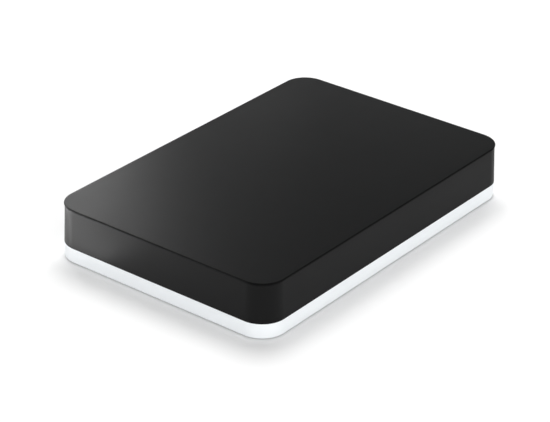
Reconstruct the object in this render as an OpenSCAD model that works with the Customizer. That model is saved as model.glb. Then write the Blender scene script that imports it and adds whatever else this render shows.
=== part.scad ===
// Portable external hard drive: a two-part plastic case around a 2.5 inch disk drive.
// Millimetres, +Z up. Origin at the centre of the footprint, on the surface that the feet stand on.
// +Y is the rear, where the cable socket is.

/* [Case] */
// Length of the case, front to rear
case_l = 117; // [116:0.5:122]
// Width of the case
case_w = 79; // [79:0.5:84]
// Height of the white lower band
lower_band_h = 4.55; // [4.2:0.05:5.2]
// Height of the black upper part, seam to top face
upper_band_h = 12.5; // [12.4:0.1:15]
// Radius of the upright corners
corner_r = 7.8; // [7:0.1:9]
// Thickness of the side walls
wall = 1.8; // [1.6:0.1:1.8]
// How far the black walls lean in between the seam and the top
draft = 0.5; // [0:0.1:0.6]
// How far the top panel stands out past the walls
panel_lip = 0.2; // [0:0.05:0.4]
// Thickness of the top panel
panel_t = 0.5; // [0.4:0.1:0.8]
// How far the feet stand out of the base
foot_h = 0.3; // [0.3:0.1:1]

/* [Disk drive] */
// Width of the disk drive
drive_w = 69.85; // [69.85:0.05:70.1]
// Length of the disk drive
drive_l = 100.35; // [100:0.05:100.5]
// Height of the disk drive
drive_h = 9.5; // [9.5:0.1:9.8]
// Diameter of a platter
platter_d = 65; // [64:0.5:65]
// Thickness of a platter
platter_t = 0.8; // [0.6:0.1:0.8]
// Gap between the two platters
platter_gap = 1.7; // [1.7:0.05:1.8]

/* [Head arm] */
// Length from the pivot to the heads
head_reach = 35; // [34.8:0.1:35.2]
// Angle that the arm swings from its parked place to the innermost track
swing = 32; // [20:1:32]

/* [Hidden] */
$fn = 64;
eps = 0.01;

// Heights of the case
floor_t = 1.6;
roof_t = 1.7;
shadow_gap_h = 0.2;
shadow_gap_deep = 0.3;
panel_chamfer = 0.15;
base_chamfer = 0.15;
z_seam = foot_h + lower_band_h;
z_top = z_seam + upper_band_h;
z_panel = z_top - panel_t;
z_wall_top = z_panel - shadow_gap_h;
z_floor = foot_h + floor_t;
z_roof = z_panel - roof_t;

// Lean of the black walls' inner sides, up to the roof, in steps of 0.01
inner_lean = round(100 * draft * (z_roof - z_seam) / (z_wall_top - z_seam)) / 100;

// Tongue and rabbet of the seam, and its snap catches
tongue_h = 1.4;
tongue_out = 1;
rabbet_in = 0.9;
rabbet_over = 0.1;
catch_l = 7;
catch_deep = 0.4;
catch_h = 0.7;
catch_z = z_seam + 0.4;
catch_gap = 0.1;
notch_margin = 4;
side_catches_y = [-32, 0, 32];
end_catches_x = [-24, 24];

// Stiffening ribs and the bosses under the bridge board
rib_t = 1;
roof_rib_h = 1.2;
roof_ribs_x = [-30, 30];
roof_ribs_y = [-40, 37];
floor_rib_h = 1.1;
floor_rib_l = 60;
floor_ribs_y = [-31, 2, 26];
boss_r = 2.4;

// Feet
foot_r = 4.5;
foot_sunk = 0.5;
foot_inset = 10.5;
foot_slack = 0.1;
foot_edge = 0.2;

// Rear bay with the bridge board and the sockets
bay_l = 10.75;
bridge_w = 50;
bridge_d = 10.2;
bridge_t = 1;
bridge_x = -1;
bridge_y = case_l / 2 - wall - 0.2 - bridge_d;
drive_z = z_floor + 1.5;
sata_tongue_z = 3.5;
receptacle_below = 1.8;
receptacle_wall = 1.2;
receptacle_h = 3.7;
bridge_top = drive_z + sata_tongue_z - receptacle_below;
bridge_screw_y = bridge_y + 6.9;
bridge_screws_x = [bridge_x - bridge_w / 2 + 3, bridge_x + bridge_w / 2 - 3];

// Socket for the cable: a five-way part and a second part beside it
usb_h = 1.85;
usb_main_w = 6.9;
usb_side_w = 4.7;
usb_rib_w = 0.65;
usb_rib_h = 1.1;
usb_w = usb_main_w + usb_rib_w + usb_side_w;
usb_skin = 0.3;
usb_depth = 7;
usb_slant = 0.9;
usb_lug_w = 0.9;
usb_tongue_z = 0.65;
usb_tongue_t = 0.6;
usb_root_l = 1.6;
usb_main_in = 1.6;
usb_side_in = 0.7;
usb_contact_w = 0.3;
contact_t = 0.06;
usb_recess = 0.4;
usb_mouth_y = case_l / 2 - usb_recess;
usb_z = bridge_top + usb_skin;
port_gap = 0.25;

// Activity light
led_x = -14;
led_z = bridge_top + 1.15;
pipe_r = 0.9;
pipe_hole_r = 0.95;
pipe_l = 3.3;
pipe_collar_r = 1.4;

// Place of the disk drive in the case
drive_rear = case_l / 2 - wall - bay_l;
drive_front = drive_rear - drive_l;
drive_mid = (drive_rear + drive_front) / 2;
platter_r = platter_d / 2;
spindle = [0, drive_front + drive_w / 2];

// Heights in the drive, from its underside
board_z = 0.35;
board_t = 0.8;
board_top = board_z + board_t;
insulator_t = 0.3;
board_seat = board_top + insulator_t;
chip_t = 0.8;
chip_pocket = board_top + chip_t + 0.2;
cavity_z = 2.8;
rim_z = 8.75;
gasket_t = 0.15;
gasket_in = 0.8;
cover_t = drive_h - rim_z - gasket_t;
disc1_z = 4.15;
disc2_z = disc1_z + platter_t + platter_gap;
discs_top = disc2_z + platter_t;

// Heads and their blades: one pair around each platter
slider_t = 0.3;
slider_gap = 0.08;
blade_t = 0.12;
arm_t = 0.6;
arm_l = 19.5;
arm_end_r = 2.6;
blade_over = slider_gap + slider_t;
blade_z = [
    disc1_z - blade_over - blade_t,
    disc1_z + platter_t + blade_over,
    disc2_z - blade_over - blade_t,
    discs_top + blade_over
];
slider_z = [
    disc1_z - blade_over,
    disc1_z + platter_t + slider_gap,
    disc2_z - blade_over,
    discs_top + slider_gap
];

// Pivot of the head arm, and the arm's two end directions
pivot = spindle + [13, 38.5];
pivot_far = norm(pivot - spindle);
park_radius = 33.9;
spindle_angle = 180 + atan2(pivot[1] - spindle[1], pivot[0] - spindle[0]);
park_angle = spindle_angle
    - acos((pow(pivot_far, 2) + pow(head_reach, 2) - pow(park_radius, 2)) / (2 * pivot_far * head_reach));
coil_angle = park_angle - 180;
coil_end_angle = coil_angle + swing;
arm_bottom = blade_z[0] - arm_t;
arm_top = blade_z[3] + blade_t + arm_t;
eblock_r = 6.4;
sleeve_r = 4.5;
shaft_r = 2;
shaft_z = cavity_z - 1.1;
running_gap = 0.04;
ramp_foot_t = 1.4;

// Voice coil, magnets and plates
coil_near = 11.2;
coil_far = 15.2;
coil_near_half = 1.2;
coil_far_half = 3.6;
coil_out_r = 2.4;
coil_in_r = 0.5;
frame_r = 3.3;
frame_z = 5.05;
frame_t = 1.5;
coil_t = 1.3;
plate_t = 0.8;
magnet_t = 1.05;
plate_r_in = 7.6;
plate_r_out = 19.4;
magnet_r_in = 8.6;
magnet_r_out = 18.2;
magnet_reach = 20;
plate_reach = magnet_reach + 2;
stem_half = 1.9;
lower_plate_z = cavity_z;
upper_magnet_z = frame_z + frame_t + 0.3;
upper_plate_z = upper_magnet_z + magnet_t;
post_r = 0.9;
post_pin_r = 0.6;
stop_r = 1.4;
ear_r = 2.2;
stop_clear = 0.3;
stop_far = frame_r + stop_r + stop_clear;
flank_angle = atan2(coil_far_half - coil_near_half, coil_far - coil_near);
stop_u = (coil_near + coil_far) / 2 - stop_far * sin(flank_angle);
stop_v = (coil_near_half + coil_far_half) / 2 + stop_far * cos(flank_angle);
stop_r_far = norm([stop_u, stop_v]);
stop_turn = atan2(stop_v, stop_u);
stop_angles = [coil_angle - stop_turn, coil_end_angle + stop_turn];

// Spindle motor
hub_r = 9.95;
hub_flange_r = 11.6;
disc_bore_r = hub_r + 0.03;
hub_skirt_r = 8.8;
well_r = 13;
well_z = 1.7;
dish_z = 0.5;
motor_dish_r = 15;
motor_bay_r = motor_dish_r + 0.5;
motor_boss_r = 4.6;
motor_boss_z = 2.4;
motor_sleeve_r = 3.5;
motor_shaft_r = 2;
motor_shaft_gap = 0.03;
clamp_t = 0.4;
stator_teeth = 9;
stator_r = 7.4;
stator_t = 2;

// Screws
m2_core = 0.8;
m2_shank = 0.78;
m2_head = 1.9;
m2_hole = 1.1;
m3_core = 1.25;
cover_screw_places = [
    [-31.4, drive_front + 3.2], [31.4, drive_front + 3.2],
    [-31.4, drive_front + 54.6], [31.4, drive_front + 59.4],
    [-31.9, drive_rear - 4.15], [31.9, drive_rear - 4.15]
];
board_screw_places = [
    [-26, drive_rear - 51], [26, drive_rear - 51], [-26.3, drive_rear - 6], [26.3, drive_rear - 6]
];
ramp_screw_place = [-28.6, drive_front + 62.4];
mount_hole_y = [drive_rear - 14, drive_rear - 90.6];
mount_hole_x = 30.86;
mount_hole_z = 3;

// Drive board, the bays for it in the casting, and its connector
board_w = 56.4;
board_l = 53;
board_bay_w = 57.2;
front_bay_deep = 1;
chip_bay = [-24, drive_rear - 46];
chip_bay_size = [30, 32];
sata_x = -4;
sata_signal_w = 10.4;
sata_power_w = 20.6;
sata_gap = 2.4;
sata_half = (sata_signal_w + sata_gap + sata_power_w) / 2;
sata_tongue_t = 1.2;
sata_tongue_l = 4.3;
sata_shell_w = 40;
sata_shell_z = 5.6;
sata_key = 1.2;
sata_pitch = 1.27;
sata_back_y = drive_rear - 6.15;
sata_back_t = 1.8;

// Outlines and blocks

// Rectangle with round corners, centred
module rounded_rect(w, l, r) {
    square([w - 2 * r, l], center = true);
    square([w, l - 2 * r], center = true);
    for (x = [-1, 1], y = [-1, 1])
        translate([x * (w / 2 - r), y * (l / 2 - r)]) circle(r);
}

// Upright block with round corners
module rounded_block(w, l, h, r) {
    linear_extrude(h) rounded_rect(w, l, r);
}

// Block with round corners whose walls lean in by inset over its height
module leaning_block(w, l, h, r, inset) {
    corner_x = w / 2 - r;
    corner_y = l / 2 - r;
    for (x = [-1, 1], y = [-1, 1])
        translate([x * corner_x, y * corner_y, 0]) cylinder(h, r, r - inset);
    translate([-corner_x, 0, 0]) rotate([90, 0, 90]) linear_extrude(2 * corner_x)
        polygon([[-l / 2, 0], [l / 2, 0], [l / 2 - inset, h], [-l / 2 + inset, h]]);
    translate([0, corner_y, 0]) rotate([90, 0, 0]) linear_extrude(2 * corner_y)
        polygon([[-w / 2, 0], [w / 2, 0], [w / 2 - inset, h], [-w / 2 + inset, h]]);
}

// Part of a flat ring between two radii and two angles
module ring_sector(r_in, r_out, from, to) {
    intersection() {
        difference() {
            circle(r_out);
            circle(r_in);
        }
        polygon([[0, 0], for (a = [from : (to - from) / 4 : to]) 2 * r_out * [cos(a), sin(a)]]);
    }
}

// Puts a shape drawn along +X from the pivot into the drive, turned to an angle
module at_pivot(angle, z = 0) {
    translate([pivot[0], pivot[1], drive_z + z]) rotate([0, 0, angle]) children();
}

module at_spindle(z = 0) {
    translate([spindle[0], spindle[1], drive_z + z]) children();
}

// Screw with a countersunk head, head up, its top at z = 0
module sunk_screw(length, head_h) {
    difference() {
        union() {
            translate([0, 0, -head_h]) cylinder(head_h, m2_shank, m2_head);
            translate([0, 0, -length]) cylinder(length - head_h + eps, m2_shank, m2_shank);
        }
        translate([0, 0, -0.3]) cylinder(1, 0.7, 0.7, $fn = 6);
    }
}

// Screw with a flat cheese head, its seat at z = 0
module flat_screw(length, head_r, head_h) {
    difference() {
        union() {
            cylinder(head_h, head_r, head_r);
            translate([0, 0, -length]) cylinder(length + eps, m2_shank, m2_shank);
        }
        translate([0, 0, head_h * 0.4]) cylinder(head_h, 0.6, 0.6, $fn = 6);
    }
}

// Case

// Thin sheet over the whole top, with a broken edge
module top_panel() {
    w = case_w - 2 * draft + 2 * panel_lip;
    l = case_l - 2 * draft + 2 * panel_lip;
    r = corner_r - draft + panel_lip;
    color("#262626") translate([0, 0, z_panel]) {
        rounded_block(w, l, panel_t - panel_chamfer, r);
        translate([0, 0, panel_t - panel_chamfer]) leaning_block(w, l, panel_chamfer, r, panel_chamfer);
    }
}

// Places of the snap catches, drawn with their length along X and their outer side at y = 0
module at_catches(inset) {
    for (y = side_catches_y, side = [-1, 1])
        translate([side * (case_w / 2 - inset), y, catch_z]) rotate([0, 0, -side * 90]) children();
    for (x = end_catches_x, side = [0, 1])
        rotate([0, 0, 180 * side]) translate([x, case_l / 2 - inset, catch_z]) children();
}

module at_feet(z = 0) {
    for (x = [-1, 1], y = [-1, 1])
        translate([x * (case_w / 2 - foot_inset), y * (case_l / 2 - foot_inset), z]) children();
}

module upper_shell() {
    neck_in = draft + shadow_gap_deep;
    window_w = usb_w + 2 * (usb_skin + port_gap);
    window_top = usb_z + usb_h + usb_skin + port_gap;
    color("#2b2b2c") difference() {
        union() {
            translate([0, 0, z_seam])
                leaning_block(case_w, case_l, z_wall_top - z_seam, corner_r, draft);
            translate([0, 0, z_wall_top - eps])
                rounded_block(case_w - 2 * neck_in, case_l - 2 * neck_in, shadow_gap_h + eps,
                              corner_r - neck_in);
        }
        difference() {
            translate([0, 0, z_seam - eps])
                leaning_block(case_w - 2 * wall, case_l - 2 * wall, z_roof - z_seam + eps,
                              corner_r - wall, inner_lean);
            for (x = roof_ribs_x)
                translate([x - rib_t / 2, roof_ribs_y[0], z_roof - roof_rib_h])
                    cube([rib_t, roof_ribs_y[1] - roof_ribs_y[0], roof_rib_h + 1]);
        }
        translate([0, 0, z_seam - eps])
            rounded_block(case_w - 2 * rabbet_in, case_l - 2 * rabbet_in, tongue_h + rabbet_over,
                          corner_r - rabbet_in);
        at_catches(rabbet_in + eps)
            translate([-catch_l / 2 - catch_gap, 0, -catch_gap])
                cube([catch_l + 2 * catch_gap, catch_deep + catch_gap, catch_h + 2 * catch_gap]);
        translate([-window_w / 2, case_l / 2 - 2 * wall, z_seam - eps])
            cube([window_w, 3 * wall, window_top - z_seam + eps]);
        translate([led_x, case_l / 2 + 1, led_z]) rotate([90, 0, 0])
            cylinder(3 * wall, pipe_hole_r, pipe_hole_r);
    }
}

module lower_shell() {
    notch_from = led_x - notch_margin;
    notch_to = usb_w / 2 + notch_margin / 2;
    color("#eef2f4") difference() {
        union() {
            translate([0, 0, foot_h + base_chamfer]) mirror([0, 0, 1])
                leaning_block(case_w, case_l, base_chamfer, corner_r, base_chamfer);
            translate([0, 0, foot_h + base_chamfer - eps])
                rounded_block(case_w, case_l, lower_band_h - base_chamfer + eps, corner_r);
            difference() {
                translate([0, 0, z_floor])
                    rounded_block(case_w - 2 * tongue_out, case_l - 2 * tongue_out,
                                  z_seam + tongue_h - z_floor, corner_r - tongue_out);
                translate([notch_from, case_l / 2 - 2 * wall, z_seam])
                    cube([notch_to - notch_from, 3 * wall, 2 * tongue_h]);
            }
            at_catches(tongue_out + eps)
                translate([-catch_l / 2, 0, 0]) cube([catch_l, catch_deep, catch_h]);
        }
        difference() {
            translate([0, 0, z_floor])
                rounded_block(case_w - 2 * wall, case_l - 2 * wall, 2 * lower_band_h, corner_r - wall);
            for (y = floor_ribs_y)
                translate([-floor_rib_l / 2, y, z_floor - eps])
                    cube([floor_rib_l, rib_t, floor_rib_h + eps]);
            for (x = bridge_screws_x)
                translate([x, bridge_screw_y, z_floor - eps])
                    cylinder(bridge_top - bridge_t - z_floor + eps, boss_r, boss_r);
        }
        at_feet(foot_h - eps) cylinder(foot_sunk + eps, foot_r, foot_r);
        for (x = bridge_screws_x)
            translate([x, bridge_screw_y, z_floor]) cylinder(5, m2_core, m2_core);
    }
}

// Round pads with a broken edge, each in a recess of the base
module rubber_feet() {
    r = foot_r - foot_slack;
    color("#c9ccce") {
        at_feet() cylinder(foot_edge, r - foot_edge, r);
        at_feet(foot_edge) cylinder(foot_h + foot_sunk - foot_edge, r, r);
    }
}

// Four rubber caps that hold the corners of the drive clear of the case
module corner_bumpers() {
    reach = 9;
    past = 2.3;
    gap = 0.15;
    inset = wall + inner_lean + gap;
    color("#3a3a3c") difference() {
        intersection() {
            translate([0, 0, z_floor])
                rounded_block(case_w - 2 * inset, case_l - 2 * inset, z_roof - z_floor - gap,
                              corner_r - inset);
            for (x = [-1, 1], end = [drive_front - past, drive_rear - reach + past])
                translate([x * (drive_w / 2 - reach / 2 + past), end + reach / 2, z_seam])
                    cube([reach, reach, 2 * z_top], center = true);
        }
        translate([-drive_w / 2, drive_front, drive_z]) cube([drive_w, drive_l, drive_h]);
    }
}

module upper_foam_pad() {
    w = 44;
    color("#6d7073") translate([-w / 2, -40, drive_z + drive_h])
        cube([w, 60, z_roof - drive_z - drive_h]);
}

module lower_foam_pad() {
    w = 40;
    color("#6d7073") translate([-w / 2, drive_front + 4.4, z_floor])
        cube([w, 14, drive_z + front_bay_deep - z_floor]);
}

// Bridge board and sockets

module bridge_board() {
    color("#1f5b3c") difference() {
        translate([bridge_x - bridge_w / 2, bridge_y, bridge_top - bridge_t])
            cube([bridge_w, bridge_d, bridge_t]);
        for (x = bridge_screws_x)
            translate([x, bridge_screw_y, 0]) cylinder(z_top, m2_hole, m2_hole);
    }
}

module bridge_chip() {
    side = 5;
    lead_l = 0.4;
    lead_pitch = 0.65;
    color("#202124") translate([11, bridge_y + 4.9, bridge_top]) {
        cube([side, side, 0.85]);
        for (i = [0 : 6], y = [-lead_l, side])
            translate([0.4 + lead_pitch * i, y, 0]) cube([0.3, lead_l, 0.25]);
    }
}

// Crystal, capacitors and resistors, each a block on the board
module bridge_small_parts() {
    color("#b9a27c") translate([0, 0, bridge_top]) {
        translate([-11.6, bridge_y + 5.4, 0]) cube([3.2, 2.5, 0.8]);
        for (i = [0 : 3], row = [0, 1])
            translate([-20.2 + 1.4 * i, bridge_y + 5.3 + 2.2 * row, 0]) cube([0.8, 1.6, 0.8]);
        for (i = [0 : 2])
            translate([8.6, bridge_y + 5.2 + 1.6 * i, 0]) cube([1.6, 0.8, 0.5]);
    }
}

module bridge_screws() {
    color("#b9bcc0") for (x = bridge_screws_x)
        translate([x, bridge_screw_y, bridge_top]) flat_screw(3.2, m2_head, 1);
}

// Outline of the socket, in X and Z, with a slanted foot on its wide part
module usb_outline(grow) {
    x0 = -usb_w / 2 - grow;
    x1 = usb_w / 2 + grow;
    top = usb_h + grow;
    polygon([[x0 + usb_slant, -grow], [x1, -grow], [x1, top], [x0, top], [x0, usb_slant * 0.8 - grow]]);
}

module usb_socket_shell() {
    back_y = usb_mouth_y - usb_depth;
    color("#c8cacd") {
        difference() {
            translate([0, usb_mouth_y, usb_z]) rotate([90, 0, 0])
                linear_extrude(usb_depth) usb_outline(usb_skin);
            translate([0, usb_mouth_y + eps, usb_z]) rotate([90, 0, 0])
                linear_extrude(usb_depth - usb_skin + eps) difference() {
                    usb_outline(0);
                    translate([-usb_w / 2 + usb_main_w, -1]) square([usb_rib_w, usb_rib_h + 1]);
                }
        }
        for (side = [-1, 1])
            translate([side * (usb_w / 2 + usb_skin + usb_lug_w / 2 - 0.1), back_y + 2.6, bridge_top + 0.6])
                cube([usb_lug_w, 2.2, 1.2], center = true);
    }
}

module usb_socket_tongues() {
    back_y = usb_mouth_y - usb_depth + usb_skin;
    tongue_z = usb_z + usb_tongue_z;
    color("#26282b") {
        translate([-usb_w / 2 + usb_slant, back_y, usb_z])
            cube([usb_main_w - usb_slant, usb_root_l, usb_h]);
        translate([usb_w / 2 - usb_side_w, back_y, usb_z]) cube([usb_side_w, usb_root_l, usb_h]);
        translate([-usb_w / 2 + usb_main_in, back_y, tongue_z])
            cube([usb_main_w - 2 * usb_main_in, usb_depth - usb_root_l, usb_tongue_t]);
        translate([usb_w / 2 - usb_side_w + usb_side_in, back_y, tongue_z])
            cube([usb_side_w - 2 * usb_side_in, usb_depth - usb_root_l, usb_tongue_t]);
    }
}

// Gold springs along the top of the two tongues
module usb_contacts() {
    back_y = usb_mouth_y - usb_depth + usb_skin;
    rows = [[-usb_w / 2 + usb_main_w / 2, 0.65], [usb_w / 2 - usb_side_w / 2, 0.6]];
    color("#d8b45a") translate([0, back_y + usb_root_l, usb_z + usb_tongue_z + usb_tongue_t])
        for (row = rows, i = [-2 : 2])
            translate([row[0] + i * row[1] - usb_contact_w / 2, 0, 0])
                cube([usb_contact_w, usb_depth - 2 * usb_root_l - 0.1, contact_t]);
}

// Socket on the bridge board that takes the drive's connector
module sata_receptacle() {
    slot = 0.15;
    left = sata_x - sata_half - receptacle_wall;
    w = 2 * (sata_half + receptacle_wall);
    color("#202226") difference() {
        union() {
            translate([left, drive_rear + 0.2, bridge_top]) cube([w, 4.3, receptacle_h]);
            translate([left, sata_back_y + sata_back_t + 0.4, drive_z + 1.5]) cube([w, 4.2, receptacle_h]);
        }
        translate([0, slot, 0]) sata_tongues(slot);
    }
}

module activity_led() {
    color("#dfe8ee") translate([led_x - 0.8, bridge_y + 7.7, bridge_top]) cube([1.6, 0.8, 1]);
}

// Clear rod from the diode to the rear wall, with a collar that stops it inside the wall
module light_pipe() {
    color("#e8eef0") intersection() {
        translate([led_x, case_l / 2 - 0.1, led_z]) rotate([90, 0, 0]) {
            cylinder(pipe_l, pipe_r, pipe_r);
            translate([0, 0, wall + 0.2]) cylinder(0.5, pipe_collar_r, pipe_collar_r);
        }
        translate([led_x - pipe_l, case_l / 2 - 2 * pipe_l, bridge_top + 0.02])
            cube([2 * pipe_l, 3 * pipe_l, 2 * pipe_l]);
    }
}

// Disk drive: casting, cover and board

// Outline of the hollow in the casting
module cavity_outline(grow = 0) {
    left = -32 - grow;
    right = 33 + grow;
    left_y = drive_front + 57.9 - grow;
    right_y = drive_front + 64.4 - grow;
    rear_half = 29.8 + grow;
    rear_y = drive_rear - 7.65 + grow;
    boss_y = drive_rear - 16.75;
    translate(spindle) circle(platter_r + 0.7 + grow);
    translate([left, left_y]) square([-left, boss_y - left_y]);
    translate([0, right_y]) square([right, boss_y - right_y]);
    translate([-rear_half, boss_y - 1]) square([2 * rear_half, rear_y - boss_y + 1]);
}

module drive_base() {
    color("#a9adb1") difference() {
        union() {
            difference() {
                translate([0, drive_mid, drive_z]) rounded_block(drive_w, drive_l, rim_z, 2);
                translate([0, 0, drive_z + cavity_z]) linear_extrude(rim_z) cavity_outline();
                at_spindle(well_z) cylinder(rim_z, well_r, well_r);
                translate([-board_bay_w / 2, drive_front + 2.4, drive_z - eps])
                    cube([board_bay_w, 44, front_bay_deep + eps]);
                translate([-board_bay_w / 2, drive_rear - board_l - 1, drive_z - eps])
                    cube([board_bay_w, board_l + 2, board_seat + eps]);
                translate([chip_bay[0], chip_bay[1], drive_z])
                    cube([chip_bay_size[0], chip_bay_size[1], chip_pocket]);
                translate([sata_x - sata_shell_w / 2 - 0.5, sata_back_y - 0.2, drive_z - eps])
                    cube([sata_shell_w + 1, 8, sata_shell_z + 0.6]);
            }
            at_spindle(dish_z) cylinder(1, motor_dish_r, motor_dish_r);
            at_spindle(dish_z) cylinder(motor_boss_z - dish_z, motor_boss_r, motor_boss_r);
        }
        at_spindle(dish_z - eps) cylinder(motor_boss_z, motor_sleeve_r, motor_sleeve_r);
        at_pivot(0, shaft_z) cylinder(5, shaft_r, shaft_r);
        for (p = cover_screw_places)
            translate([p[0], p[1], drive_z + rim_z - 4.5]) cylinder(5, m2_core, m2_core);
        for (p = board_screw_places)
            translate([p[0], p[1], drive_z - eps]) cylinder(2.4, m2_core, m2_core);
        for (x = [-1, 1], y = mount_hole_y) {
            translate([x * mount_hole_x, y, drive_z - eps]) cylinder(2.5, m3_core, m3_core);
            translate([x * (drive_w / 2 - 1.3), y, drive_z + mount_hole_z]) rotate([0, 90, 0])
                cylinder(2.8, m3_core, m3_core, center = true);
        }
        for (a = stop_angles)
            at_pivot(a, cavity_z - 0.8) translate([stop_r_far, 0, 0]) cylinder(1, post_pin_r, post_pin_r);
        translate([ramp_screw_place[0], ramp_screw_place[1], drive_z + cavity_z - 0.6])
            cylinder(1, m2_core, m2_core);
    }
}

module drive_cover() {
    inset = 0.4;
    groove_z = cover_t - 0.15;
    color("#c3c6c9") translate([0, 0, drive_z + drive_h - cover_t]) difference() {
        translate([0, drive_mid, 0])
            rounded_block(drive_w - 2 * inset, drive_l - 2 * inset, cover_t, 1.8);
        for (p = [each cover_screw_places, pivot])
            translate([p[0], p[1], -eps]) cylinder(cover_t + 2 * eps, m2_shank + 0.1, m2_head + 0.1);
        translate([spindle[0], spindle[1], groove_z]) linear_extrude(1) difference() {
            circle(30);
            circle(28.8);
        }
        translate([-6, drive_rear - 30, groove_z]) cube([28, 0.8, 1]);
    }
}

module cover_gasket() {
    color("#1d1e20") translate([0, 0, drive_z + rim_z]) linear_extrude(gasket_t) difference() {
        translate([0, drive_mid]) rounded_rect(drive_w - 2 * gasket_in, drive_l - 2 * gasket_in, 1.6);
        cavity_outline(0.5);
        for (p = cover_screw_places)
            translate(p) circle(1.6);
    }
}

module cover_screws() {
    color("#8f9397") {
        for (p = cover_screw_places)
            translate([p[0], p[1], drive_z + drive_h]) sunk_screw(3.6, cover_t);
        translate([pivot[0], pivot[1], drive_z + drive_h]) sunk_screw(2.9, cover_t);
    }
}

// Circuit board with a round bay that clears the motor
module drive_board() {
    color("#1d4f38") translate([0, 0, drive_z + board_z]) difference() {
        translate([-board_w / 2, drive_rear - board_l - 0.4, 0]) cube([board_w, board_l, board_t]);
        for (p = board_screw_places)
            translate([p[0], p[1], -eps]) cylinder(2, m2_hole, m2_hole);
        translate([spindle[0], spindle[1], -eps]) cylinder(2, motor_bay_r, motor_bay_r);
    }
}

module board_chip(x, y, w, l) {
    color("#232427") translate([x, y, drive_z + board_top]) cube([w, l, chip_t]);
}

module controller_chip() {
    board_chip(-20, drive_rear - 32, 12, 12);
}

module memory_chip() {
    board_chip(-4.5, drive_rear - 31, 8, 10);
}

module motor_chip() {
    board_chip(-17, drive_rear - 43.5, 8, 8);
}

module board_small_parts() {
    color("#b9a27c") translate([0, 0, drive_z + board_top]) {
        for (i = [0 : 5])
            translate([-20 + 2 * i, drive_rear - 18.4, 0]) cube([0.8, 1.6, 0.7]);
        for (i = [0 : 4])
            translate([-6 + 2 * i, drive_rear - 36, 0]) cube([0.8, 1.6, 0.7]);
        translate([-6, drive_rear - 43, 0]) cube([4, 4, 0.8]);
        translate([0.5, drive_rear - 43, 0]) cube([3.2, 2.5, 0.7]);
    }
}

// Foam sheet between the board and the casting, open around the chips and screws
module board_insulator() {
    color("#3c4044") translate([0, 0, drive_z + board_top]) difference() {
        translate([-27.4, drive_rear - board_l + 0.4, 0]) cube([54.8, 44.5, insulator_t]);
        translate([chip_bay[0], chip_bay[1], -eps]) cube([chip_bay_size[0], chip_bay_size[1], 1]);
        for (p = board_screw_places)
            translate([p[0], p[1], -eps]) cylinder(1, 2.4, 2.4);
        translate([spindle[0], spindle[1], -eps]) cylinder(1, motor_bay_r, motor_bay_r);
    }
}

module board_screws() {
    color("#8f9397") for (p = board_screw_places)
        translate([p[0], p[1], drive_z + board_z]) mirror([0, 0, 1]) flat_screw(1.9, 1.7, board_z);
}

// The two blades of the drive's connector, each with a key at one end
module sata_tongues(grow = 0) {
    t = sata_tongue_t + 2 * grow;
    z = drive_z + sata_tongue_z - t / 2;
    x0 = sata_x - sata_half;
    for (blade = [[x0, sata_power_w], [x0 + sata_power_w + sata_gap, sata_signal_w]])
        translate([blade[0] - grow, sata_back_y + sata_back_t - eps, z]) {
            cube([blade[1] + 2 * grow, sata_tongue_l + eps, t]);
            translate([0, 0, -sata_key]) cube([sata_key + 2 * grow, sata_tongue_l + eps, sata_key + eps]);
        }
}

module drive_connector() {
    color("#1b1c1f") {
        difference() {
            translate([sata_x - sata_shell_w / 2, sata_back_y, drive_z + board_top])
                cube([sata_shell_w, sata_back_t + sata_tongue_l, sata_shell_z - board_top]);
            translate([sata_x - sata_shell_w / 2 + 1.8, sata_back_y + sata_back_t, drive_z])
                cube([sata_shell_w - 3.6, 10, 10]);
        }
        sata_tongues();
    }
}

// Gold contacts on the upper side of the two blades
module drive_contacts() {
    w = 0.7;
    x0 = sata_x - sata_half;
    top = drive_z + sata_tongue_z + sata_tongue_t / 2;
    color("#d8b45a") translate([-w / 2, sata_back_y + sata_back_t + 0.1, top])
        for (blade = [[x0, sata_power_w, 15], [x0 + sata_power_w + sata_gap, sata_signal_w, 7]])
            for (i = [0 : blade[2] - 1])
                translate([blade[0] + blade[1] / 2 + (i - (blade[2] - 1) / 2) * sata_pitch, 0, 0])
                    cube([w, 3.6, contact_t]);
}

// Spindle motor and platters

module motor_sleeve() {
    bore_r = motor_shaft_r + motor_shaft_gap;
    color("#b08d4f") at_spindle(dish_z) difference() {
        cylinder(5.8, motor_sleeve_r, motor_sleeve_r);
        translate([0, 0, 0.6]) cylinder(6, bore_r, bore_r);
    }
}

module stator_core() {
    color("#7b7f84") at_spindle(motor_boss_z) linear_extrude(stator_t) difference() {
        union() {
            circle(4.7);
            for (i = [0 : stator_teeth - 1]) rotate(i * 360 / stator_teeth) {
                translate([4, -0.6]) square([2.6, 1.2]);
                ring_sector(6.5, stator_r, -15, 15);
            }
        }
        circle(motor_sleeve_r + 0.02);
    }
}

module stator_coils() {
    color("#b4632f") for (i = [0 : stator_teeth - 1])
        at_spindle(motor_boss_z) rotate([0, 0, i * 360 / stator_teeth]) difference() {
            translate([4.95, -1.15, -0.45]) cube([1.4, 2.3, stator_t + 0.9]);
            translate([4, -0.62, -0.02]) cube([4, 1.24, stator_t + 0.04]);
        }
}

// Cup that carries the platters, with the shaft in its middle
module spindle_hub() {
    shaft_end = 1.15;
    skirt_end = 2.2;
    roof = 6.6;
    flange_end = disc1_z - 0.7;
    color("#cfd2d5") at_spindle() difference() {
        rotate_extrude() polygon([
            [0, shaft_end], [motor_shaft_r, shaft_end], [motor_shaft_r, roof], [hub_skirt_r, roof],
            [hub_skirt_r, skirt_end], [hub_r, skirt_end], [hub_r, flange_end], [hub_flange_r, flange_end],
            [hub_flange_r, disc1_z], [hub_r, disc1_z], [hub_r, discs_top], [0, discs_top]
        ]);
        translate([0, 0, discs_top - 2]) cylinder(3, m2_core, m2_core);
    }
}

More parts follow.
